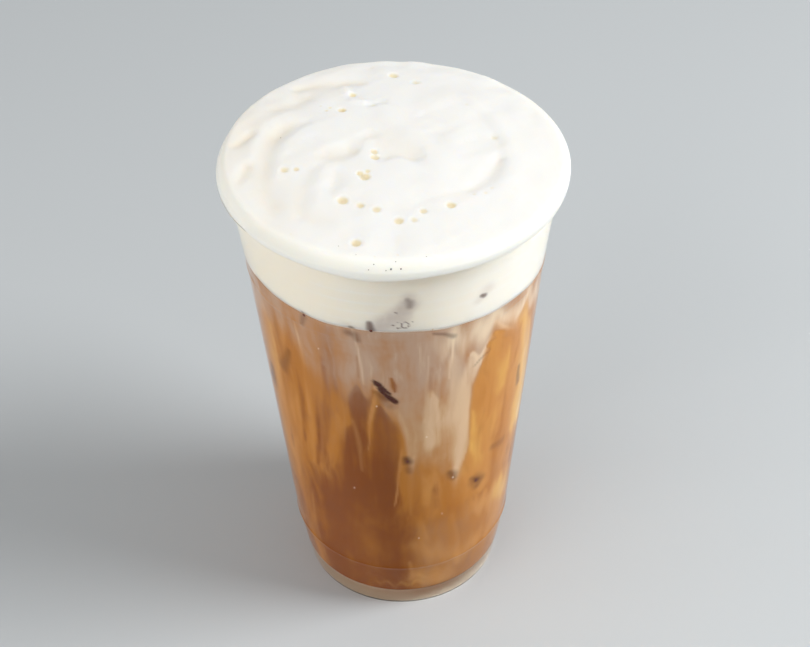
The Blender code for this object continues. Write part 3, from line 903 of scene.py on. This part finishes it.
# Open bubbles in the foam: x, y and radius in mm, and strength from 0 to 1
PITS = (
    (0.7, 36.9, 1.3, 0.9), (7.1, 32.9, 1.3, 0.5), (-11.0, 25.6, 1.0, 0.9), (-5.2, 19.8, 0.9, 0.4),
    (-14.1, 17.4, 1.1, 1.0), (-17.4, 18.8, 0.5, 0.6), (-18.4, 17.2, 0.5, 0.6), (-20.1, 19.8, 0.4, 0.5),
    (-5.2, -3.4, 1.1, 0.8), (-5.0, -5.8, 1.2, 0.9), (-7.7, -14.6, 1.4, 1.0), (-9.0, -13.2, 1.0, 0.9),
    (-6.9, -12.4, 0.8, 0.7), (-29.4, -10.0, 1.2, 0.6),
    (-26.2, -10.0, 0.9, 0.7), (28.2, 5.0, 1.0, 0.4), (21.3, 20.4, 0.8, 0.3), (-13.6, -23.9, 1.4, 1.0),
    (-8.9, -25.9, 1.1, 0.7), (-4.7, -27.9, 1.2, 0.7), (1.1, -32.1, 1.3, 0.8), (5.1, -31.9, 1.1, 0.5),
    (7.6, -28.4, 1.1, 0.7), (14.9, -26.1, 1.3, 0.9), (21.2, -21.4, 0.6, 0.4), (24.3, -20.8, 0.6, 0.4),
    (26.0, -18.6, 0.6, 0.4), (-10.0, -40.2, 1.3, 1.0), (-33.5, -29.0, 0.3, 0.4), (-27.0, -36.0, 0.3, 0.4),
    (-23.0, -42.5, 0.35, 0.4), (-16.0, -43.5, 0.3, 0.4), (8.0, -45.0, 0.4, 0.5), (0.6, -44.6, 0.3, 0.5),
    (-5.5, -45.2, 0.3, 0.5), (19.0, -41.5, 0.3, 0.3), (36.0, 20.0, 0.4, 0.3), (-5.6, 42.4, 0.9, 0.3),
)
# Rows of the foam's surface: its dome, from there out to the lip, round the lip, down the lap, and in over the coffee
TOP_ROWS = 122
OUT_ROWS = 14
LIP_ROWS = 8
LAP_ROWS = 6
FOOT_ROWS = 3
# Specks, which are tiny open bubbles, most at the front of the foam, made as dark balls that stand for the shade
# inside them: x, y and radius in mm
SPECKS = ((-1.3, -48.1, 0.28), (1.5, -48.1, 0.24), (-2.7, -48.4, 0.15), (-7.1, -47.9, 0.15), (-5.3, -47.3, 0.16),
          (0.2, -46.8, 0.15), (7.6, -45.6, 0.16), (-10.0, -44.6, 0.13), (-14.5, -41.0, 0.13), (-31.0, 6.0, 0.2))


def swirl_relief(x, y):
    """Depth of the swirls in mm: a bell-shaped groove along each spiral and fold, and a three-sided hollow that
    is the product of three soft steps along slightly wavy sides."""
    radius = np.hypot(x, y)
    depth = np.zeros_like(radius)
    for start, end, r_start, r_end, deep, half in SWIRLS:
        turn = angle_between(np.degrees(np.arctan2(y, x)), (start + end) / 2.0)
        share = turn / (end - start) + 0.5
        line = r_start + (r_end - r_start) * np.clip(share, 0.0, 1.0)
        ends = smooth(-0.1, 0.1, share) * smooth(1.1, 0.9, share)
        depth += deep * ends * np.exp(-((radius - line) / half) ** 2)
    for deep, line in FOLDS:
        depth += deep * np.exp(-nearness(x, y, line) ** 2)
    inside = HOLLOW_DEPTH * smooth(24.0, -10.0, y)
    bent_x, bent_y = x + 0.9 * np.sin(y / 2.6), y - 0.7 * np.sin(x / 1.5 + 1.0)
    for (px, py), facing, soft in HOLLOW_SIDES:
        turn = math.radians(facing)
        out = (bent_x - px) * math.cos(turn) + (bent_y - py) * math.sin(turn)
        inside = inside * smooth(soft, -soft, out)
    return depth + inside


def pit_relief(x, y):
    """Depth of the open bubbles in mm and their mask: a round cup with a faint raised lip."""
    depth, mask = np.zeros_like(x), np.zeros_like(x)
    for px, py, size, strength in PITS:
        away = np.hypot(x - px, y - py) / size
        cup = strength * np.exp(-away**3)
        depth += size * (0.55 * cup - 0.05 * strength * np.exp(-((away - 1.35) / 0.3) ** 2))
        mask = np.maximum(mask, cup)
    return depth, mask


def foam_height(settings, x, y):
    """Height of the foam and its hollows' depth: a low tilted dome less swirls, bubbles and a fine unevenness."""
    xm, ym = x / MM, y / MM
    reach = np.hypot(x, y) / DOME_EDGE
    fade = smooth(1.02, 0.92, reach)
    dome = settings.edge + settings.rise * (1.0 - np.minimum(reach, 1.0) ** 2) - settings.tilt * x / DOME_EDGE
    grooves = swirl_relief(xm, ym)
    pits, marks = pit_relief(xm, ym)
    uneven = 0.14 * drift(3, xm / 5.0, ym / 5.0, waves=25) + 0.03 * drift(4, xm / 1.6, ym / 1.6, waves=25)
    bumps = 0.16 * drift(5, xm / 2.6, ym / 2.6, waves=25) * smooth(0.80, 0.97, reach) * smooth(-10.0, 20.0, ym)
    height = dome - MM * (fade * grooves + uneven + bumps + smooth(1.03, 0.98, reach) * pits)
    top = FOAM_HIGH[2] - 0.3 * MM
    height = np.where(height > top, top + 0.25 * MM * np.tanh((height - top) / (0.25 * MM)), height)
    return height, fade * grooves, marks


def foam_rows(settings, sides=480):
    """Rows of the foam: its top from the middle out, the lap over the rim, the side just inside the plastic and
    the foot on the coffee. Returns the points, the depth of the swirls and the mask of open bubbles over the top, and
    a mask of what lies behind the plastic."""
    turn = np.arange(sides) * math.tau / sides
    angle = np.degrees(turn)
    out = np.linspace(0.002, 1.0, TOP_ROWS)[:, None] * DOME_EDGE
    height, grooves, marks = foam_height(settings, out * np.sin(turn), -out * np.cos(turn))
    rows = [(out, height)]

    # Out to the lip, which lies on the bead, or inside it where the rim stays clear
    cover = foam_cover(angle)
    bead_r, skin_r = RIM_RADIUS - BEAD, BEAD - 0.03 * MM - 0.42 * MM * (1.0 - cover)
    tip = np.radians(2.0 - 12.0 * (1.0 - cover))
    lip = np.maximum(tip, math.radians(38.0))
    edge_r, edge_z = bead_r + skin_r * np.cos(lip), RIM_LEVEL + skin_r * np.sin(lip)
    outward = np.linspace(0.0, 1.0, OUT_ROWS + 1)[1:, None]
    rows.append((DOME_EDGE + (edge_r - DOME_EDGE) * outward,
                 height[-1] + (edge_z - height[-1]) * (0.12 * outward + 0.88 * outward**2.6)))

    # Round the lip, down the lap and back in under it
    sweep = lip + (tip - lip) * np.linspace(0.0, 1.0, LIP_ROWS + 1)[1:, None]
    radius, level = bead_r + skin_r * np.cos(sweep), RIM_LEVEL + skin_r * np.sin(sweep)
    rows.append((radius, level))
    uneven = drift(8, np.cos(turn) * 5.0, np.sin(turn) * 5.0)
    drop = MM * cover * np.interp(angle_between(angle, 0.0), LAP_ANGLES, LAP_DROPS) * (1.0 + 0.12 * uneven)
    down = np.linspace(0.0, 1.0, LAP_ROWS + 1)[1:, None]
    hang = level[-1] - drop * down
    rows.append((radius[-1] - 0.5 * np.minimum(drop, 0.7 * MM) * down**4, hang))
    tuck = np.array(((47.6, 46.6, 46.2), (153.0, 152.6, 152.2), (0.08, 0.12, 0.16))) * MM
    inner_r, inner_z, below = tuck[..., None]
    inner_z = np.minimum(inner_z, hang[-1] - below)
    rows.append((inner_r, inner_z))

    # Down the side to the coffee and in over it
    foot = boundary_level(angle)
    share = np.append(np.linspace(0.0, 1.0, 40)[1:-1], (0.998, 1.0))[:, None]
    start = np.minimum(inner_z[-1] - 0.1 * MM, 151.6 * MM)
    level = start + (foot - start) * share
    radius = wall_radius(level) - REACH - 0.2 * MM * smooth(144 * MM, 152 * MM, level)
    rows.append((radius, level))
    inner = np.array((0.8, 0.4, 0.01))[:, None]
    rows.append((inner * radius[-1], BOUNDARY_LEVEL + inner * (foot - BOUNDARY_LEVEL)))

    rows = np.concatenate([turned(radius, level, turn) for radius, level in rows])
    tucked = np.ones(rows.shape[:2])
    lip_end = TOP_ROWS + OUT_ROWS + LIP_ROWS
    tucked[:lip_end] = 0.0
    tucked[lip_end : lip_end + LAP_ROWS] = 0.8 * down**3 * cover
    return rows, grooves, marks, tucked


# Ice and bubbles against the plastic in the foam, like the lines painted on the drink
FACET_LINES = (
    (0.75, 0.9, ((-8.0, 130.0, 2.4), (-4.5, 132.5, 2.6), (0.0, 135.5, 2.6), (3.0, 138.5, 2.0))),
    (0.45, 0.7, ((-4.0, 129.5, 2.5), (0.5, 131.0, 3.6), (2.4, 135.0, 2.2))),
    (0.4, 0.95, ((29.5, 134.8, 1.4), (31, 136, 1.8), (33, 138, 2.2))),
    (0.6, 1.0, ((4.0, 142.0, 1.8), (4.4, 139.5, 2.4))),
    (0.5, 0.9, ((-18, 129.5, 1.6), (-15, 128.0, 1.8))),
    (0.5, 0.9, ((-36, 129.5, 1.2), (-34, 128.6, 1.2))),
)
SPOT_LINES = (
    (0.85, 0.9, ((-9.8, 132.0, 0.9), (-9.5, 129.5, 1.2), (-9.2, 127.2, 1.4))),
    (0.55, 1.0, ((3.5, 141.2, 0.9), (4.4, 140.0, 1.4), (4.3, 138.4, 1.1))),
    (0.9, 0.9, ((30.7, 136.3, 0.7), (31.8, 135.9, 0.9))),
    (0.8, 0.8, ((-16.6, 129.2, 0.8), (-15.2, 128.2, 0.8))),
    (0.8, 0.8, ((-35.8, 129.3, 0.6), (-34.8, 128.6, 0.7))),
    (0.8, 0.6, ((-0.6, 136.3, 0.3), (0.0, 136.2, 0.3))),
    (0.9, 0.6, ((-1.8, 131.6, 0.35), (-1.3, 131.4, 0.35))),
    (0.9, 0.6, ((0.0, 130.3, 0.4), (0.3, 130.2, 0.4))),
    (0.7, 0.6, ((5.2, 132.4, 0.3), (5.5, 132.6, 0.3))),
    (0.6, 0.6, ((0.2, 132.6, 0.25), (0.4, 132.6, 0.25))),
    (0.8, 0.7, ((1.2, 131.0, 0.25), (1.8, 130.4, 0.25), (3.2, 130.3, 0.25), (4.2, 131.0, 0.25), (4.0, 132.0, 0.25),
                (2.8, 132.5, 0.25), (1.5, 132.1, 0.25), (1.2, 131.0, 0.25))),
)


def foam_finish(settings):
    """Whipped cream: soft white that lets light in, ivory behind the plastic and as painted shade in hollows, on the
    left and under the lip, warm painted shade in open bubbles, with fine bubbles as bump. A faint glow stands for
    light that it carries down behind the plastic, into the shadow of its lip and to its foot; a paler colour and
    glow at the lip are painted light too."""
    make = Finish("cream_foam")
    groove, pit, behind = make.masks("cream")
    lip, foot, _ = make.masks("edge")
    facet, dark, line = make.masks("ice")
    spot = make.place()
    across, _, rise = make.parts(spot)
    left = across.step(10 * MM, -50 * MM)
    right = across.step(4 * MM, 36 * MM)
    shaded = rise.step(145.0 * MM, 147.8 * MM) * behind
    soft = make.noise(spot, 55.0, 3.0) - 0.5
    # Ivory tint: painted shade in the swirls' hollows, on the left side and under the lip, and the foam's ivory tone
    # behind the plastic and at random
    tint = groove * 0.42 + behind * (0.7 - right * 0.25) + line * 0.2
    tint = tint + soft * 0.9 + left * 0.35 + shaded * 0.35
    # White, paler at the lip as painted light, to ivory as painted shade and behind the plastic, then painted shade
    # in open bubbles, and ice and dark spots behind the plastic
    colour = make.mix(lip, rgba(settings.white), rgba(settings.lip))
    colour = make.mix(tint.step(0.0, 1.0), colour, rgba(settings.ivory))
    colour = make.mix(pit.step(0.05, 0.75) * 0.8, colour, rgba(settings.pit))
    mottle = make.noise(spot, 700.0, 3.0) - 0.5
    colour = make.mix((facet + mottle * 0.6 * facet).step(0.0, 1.0) * 0.55, colour, rgba(settings.facet))
    colour = make.mix(dark.step(0.1, 1.0) * 0.85, colour, rgba(settings.dark))
    # Faint glow, stronger at the right, where the lamp on that side throws the lip's shadow
    shadow = rise.step(146.5 * MM, 149.5 * MM) * across.step(-10 * MM, 30 * MM)
    glow = behind * (0.35 + 0.5 * shadow + 0.45 * across.step(0.0, 18 * MM)) * (1.0 - facet * 0.7) + lip * 0.32
    light = make.mix(glow, BLACK, rgba(settings.scatter))
    light = make.mix(shaded * right * 0.8, light, rgba(settings.under))
    cells = make.node("ShaderNodeTexVoronoi", {"feature": "F1"}, {"Vector": spot, "Scale": 1400.0}).out("Distance")
    froth = cells * 0.5 + make.noise(spot, 900.0, 3.0) * 0.5
    surface = make.principled(
        base_color=colour,
        roughness=0.5,
        specular_ior_level=0.2,
        subsurface_weight=1.0,
        subsurface_radius=(1.0, 0.9, 0.75),
        subsurface_scale=0.0045,
        normal=make.bump(froth, 0.12, 0.0003),
        emission_color=make.mix(foot * 0.9, light, rgba(settings.seam)),
        emission_strength=1.0,
    )
    return make.finish(surface)


class DRINK_OT_foam(bpy.types.Operator):
    """Makes the cream foam, with its swirls and open bubbles"""

    bl_idname = "drink.foam"
    bl_label = "Foam"

    def execute(self, context):
        settings = context.scene.drink_foam
        rows, grooves, pits, tucked = foam_rows(settings)
        mesh = skin("foam_body", rows)
        count = tucked.size
        groove_mask, pit_mask = np.zeros(count), np.zeros(count)
        groove_mask[: grooves.size] = np.clip(grooves.ravel(), 0, 1.5)
        pit_mask[: pits.size] = np.clip(pits.ravel(), 0, 1)
        x, y, level = rows.reshape(-1, 3).T
        angle, height = np.degrees(np.arctan2(x, -y)), level / MM
        behind = tucked.ravel()
        facet = painted(angle, height, FACET_LINES, 21, 7, (128, 141), (1.5, 3.5)) * behind
        spots = painted(angle, height, SPOT_LINES, 22, 9, (128, 140), (0.5, 1.2)) * behind
        lines = behind * np.exp(-((height - 134.0) % 3.7 - 1.8) ** 2 / 0.15) * drift(23, angle / 25.0, height / 6.0)
        paint(mesh, "cream", groove_mask, pit_mask, behind)
        paint(mesh, "ice", facet, spots, lines)
        foot = np.zeros(tucked.shape)
        foot[-FOOT_ROWS - 2 : -FOOT_ROWS] = 1.0
        # Painted light at the lip: a paler colour and a glow for light that comes through the foam there
        lip = smooth(44.5, 48.0, np.hypot(x, y) / MM) * (1.0 - behind) * (height > 150.0)
        paint(mesh, "edge", lip, foot.ravel(), np.zeros(count))
        place("foam_body", mesh, foam_finish(settings), "cream_foam", "foam")

        # Dark balls at the specks: painted shade inside tiny open bubbles
        x, y, radius = (np.array(SPECKS) * MM).T
        top = rows[: TOP_ROWS + OUT_ROWS].reshape(-1, 3)
        nearest = np.hypot(top[:, 0] - x[:, None], top[:, 1] - y[:, None]).argmin(axis=1)
        specks = join_balls("foam_specks", top[nearest] - radius[:, None] * (0.0, 0.0, 0.5), radius)
        make = Finish("foam_specks")
        speck_shade = make.finish(make.principled(base_color=rgba(settings.speck_shade), roughness=0.6))
        place("foam_specks", specks, speck_shade, "cream_foam")
        return {"FINISHED"}


# Ice and bubbles

# Cubes of ice that touch the plastic: the part that touches (1 face, 2 edge, 3 corner), its angle and height in mm,
# turn in the wall in degrees and how far it comes out of the drink, in mm
ICE = (
    (3, 2.9, 74.0, 10, 0.04),
    (3, 37.4, 55.4, 40, 0.08),
    (3, -70.5, 87.0, 75, 0.20),
    (3, -35.4, 128.8, 55, 0.04),
    (3, -9.4, 129.2, 5, 0.04),
)
# Small bubbles at the plastic: angle, height and radius in mm
BUBBLES = ((11.0, 84.0, 0.50), (-22.0, 59.0, 0.45), (-9.0, 98.2, 0.35), (12.5, 128.4, 0.45), (24.0, 62.2, 0.55),
           (19.5, 46.0, 0.30), (-31.0, 117.0, 0.30), (8.0, 36.0, 0.35))


def ice_cube(points, half, contact, angle, level, turn, out):
    """A rounded cube moved so that the named face, edge or corner comes out of the drink by a given depth, with
    its points held inside the plastic. Rounding: each point keeps a set distance from a smaller cube's skin."""
    edge = 0.24 * half
    core = np.clip(points * half, edge - half, half - edge)
    away = points * half - core
    shape = core + edge * away / np.maximum(np.linalg.norm(away, axis=1, keepdims=True), 1e-9)
    outward = np.array((1.0, float(contact > 1), float(contact > 2))) / math.sqrt(contact)
    up = np.array((0.0, 0.0, 1.0)) if contact < 3 else np.array((-1.0, -1.0, 2.0)) / math.sqrt(6.0)
    local = np.stack((outward, up, np.cross(outward, up)))
    bearing, roll = math.radians(angle), math.radians(turn)
    radial = np.array((math.sin(bearing), -math.cos(bearing), 0.0))
    around = np.array((math.cos(bearing), math.sin(bearing), 0.0))
    rise = np.array((0.0, 0.0, 1.0)) * math.cos(roll) - around * math.sin(roll)
    world = np.stack((radial, rise, np.cross(radial, rise)))
    support = (half - edge) * outward.sum() + edge
    wall = float(wall_radius(level))
    placed = shape @ local.T @ world + radial * (wall - REACH + out - support)
    placed[:, 2] += level
    reach = np.hypot(placed[:, 0], placed[:, 1])
    limit = wall_radius(placed[:, 2]) - 0.10 * MM
    placed[:, :2] *= np.minimum(1.0, limit / np.maximum(reach, 1e-9))[:, None]
    return placed


def ice_finish(settings):
    """Ice with dark drink behind it: reddish brown in the drink and paler in the foam."""
    make = Finish("sunken_ice")
    spot = make.place()
    share = make.parts(spot)[2].step(120 * MM, 130 * MM)
    colour = make.mix(share, rgba(settings.brown), rgba(settings.grey))
    cloud = make.noise(spot, 500.0, 3.0).step(0.3, 0.7) * 0.5
    colour = make.mix(cloud, colour, rgba(settings.rust))
    return make.finish(make.principled(base_color=colour, roughness=0.4, specular_ior_level=0.1))


def bubble_finish(settings):
    """Pale skin of a small bubble."""
    make = Finish("small_bubbles")
    share = make.noise(make.place(), 900.0, 2.0)
    colour = make.mix(share, rgba(settings.pale), rgba(settings.rim))
    return make.finish(make.principled(base_color=colour, roughness=0.3, specular_ior_level=0.3))


class DRINK_OT_ice(bpy.types.Operator):
    """Makes the ice cubes sunk in the drink, where they touch the plastic, and small bubbles beside them"""

    bl_idname = "drink.ice"
    bl_label = "Ice and bubbles"

    def execute(self, context):
        settings = context.scene.drink_ice
        rng = np.random.default_rng(settings.seed)
        points, faces = cube_shell()
        cubes = [*ICE]
        for turn in (100, 128, 160, 190, 222, 250):
            cubes.append((int(rng.integers(2, 4)), turn + rng.uniform(-8, 8), rng.uniform(50, 134),
                          rng.uniform(0, 90), rng.uniform(0.06, 0.25)))
        half = settings.side / 2.0
        shapes = [ice_cube(points, half, kind, angle, level * MM, turn, out * MM)
                  for kind, angle, level, turn, out in cubes]
        mesh = mesh_of("ice_cubes", np.concatenate(shapes), repeated(faces, len(points), len(cubes)))
        place("ice_cubes", mesh, ice_finish(settings), "coffee")

        spots = [*BUBBLES]
        for _ in range(26):
            spots.append((rng.uniform(75, 285), rng.uniform(25, 127), rng.uniform(0.25, 0.5)))
        angle, level, radius = np.array(spots).T
        middle = wall_radius(level * MM) - REACH - radius * MM + 0.12 * MM
        centres = turned(middle, level * MM, np.radians(angle))
        place("small_bubbles", join_balls("small_bubbles", centres, radius * MM), bubble_finish(settings), "coffee")
        return {"FINISHED"}


# Studio

CAMERA_PLACE = Vector((0.0, -0.3660, 0.4179))
CAMERA_AIM = Vector((0.0023, 0.0, 0.0932))
CAMERA_ROLL_DEG = -1.21
SENSOR_MM = 36.0
FLOOR_REACH = 5.0
# Soft round lamps, whose power is in the settings: place and width in metres
LAMPS = (
    ("key", (0.82, -0.12, 0.92), 0.55),
    ("front", (-1.25, -1.30, 1.05), 1.8),
    ("left", (-1.45, -0.10, 0.33), 0.6),
)
LAMP_AIM = Vector((0.0, 0.0, 0.08))


class DRINK_OT_studio(bpy.types.Operator):
    """Makes the plain floor, the soft light and the camera"""

    bl_idname = "drink.studio"
    bl_label = "Studio"

    def execute(self, context):
        scene, settings = context.scene, context.scene.drink_studio
        floor = bpy.data.meshes.new("studio_floor")
        corners = [(x * FLOOR_REACH, y * FLOOR_REACH, 0.0) for x, y in ((-1, -1), (1, -1), (1, 1), (-1, 1))]
        floor.from_pydata(corners, [], [(0, 1, 2, 3)])
        piece = bpy.data.objects.new("studio_floor", floor)
        scene.collection.objects.link(piece)
        make = Finish("studio_floor")
        floor.materials.append(make.finish(make.principled(base_color=rgba(settings.floor), roughness=0.8)))

        for name, where, size in LAMPS:
            self.lamp(scene, name, where, getattr(settings, name), size)
        world = bpy.data.worlds.new("studio")
        world.use_nodes = True
        background = world.node_tree.nodes["Background"]
        background.inputs[0].default_value = (1.0, 1.0, 1.0, 1.0)
        background.inputs[1].default_value = settings.fill
        scene.world = world
        scene.view_settings.view_transform = "Standard"

        camera = bpy.data.objects.new("camera", bpy.data.cameras.new("camera"))
        scene.collection.objects.link(camera)
        camera.data.lens = settings.lens
        camera.data.sensor_width = SENSOR_MM
        camera.data.clip_start = 0.01
        look = (CAMERA_AIM - CAMERA_PLACE).to_track_quat("-Z", "Y").to_matrix().to_4x4()
        roll = Matrix.Rotation(math.radians(CAMERA_ROLL_DEG), 4, "Z")
        camera.matrix_world = Matrix.Translation(CAMERA_PLACE) @ look @ roll
        scene.camera = camera
        return {"FINISHED"}

    @staticmethod
    def lamp(scene, name, where, power, size):
        light = bpy.data.lights.new(name, "AREA")
        light.shape = "DISK"
        light.size = size
        light.energy = power
        lamp = bpy.data.objects.new(name, light)
        scene.collection.objects.link(lamp)
        lamp.location = where
        lamp.rotation_euler = (LAMP_AIM - Vector(where)).to_track_quat("-Z", "Y").to_euler()


class DRINK_PT_panel(bpy.types.Panel):
    """Lists the pieces of the drink and their settings"""

    bl_label = "Iced coffee"
    bl_idname = "DRINK_PT_panel"
    bl_space_type = "VIEW_3D"
    bl_region_type = "UI"
    bl_category = "Iced coffee"

    def draw(self, context):
        for key, operator, group in STEPS:
            box = self.layout.box()
            box.operator(operator.bl_idname)
            for name in group.__annotations__:
                box.prop(getattr(context.scene, key), name)


# Pieces in the order in which they are made: name of the settings on the scene, operator and settings
STEPS = (
    ("drink_cup", DRINK_OT_cup, CupSettings),
    ("drink_coffee", DRINK_OT_coffee, CoffeeSettings),
    ("drink_foam", DRINK_OT_foam, FoamSettings),
    ("drink_ice", DRINK_OT_ice, IceSettings),
    ("drink_studio", DRINK_OT_studio, StudioSettings),
)
CLASSES = (*(group for _, _, group in STEPS), *(operator for _, operator, _ in STEPS), DRINK_PT_panel)


def register():
    for cls in CLASSES:
        bpy.utils.register_class(cls)
    for key, _, group in STEPS:
        setattr(bpy.types.Scene, key, PointerProperty(type=group))


def unregister():
    for key, _, _ in STEPS:
        delattr(bpy.types.Scene, key)
    for cls in reversed(CLASSES):
        bpy.utils.unregister_class(cls)


def main():
    register()
    bpy.ops.drink.cup()
    bpy.ops.drink.coffee()
    bpy.ops.drink.foam()
    bpy.ops.drink.ice()
    bpy.ops.drink.studio()


if __name__ == "__main__":
    main()
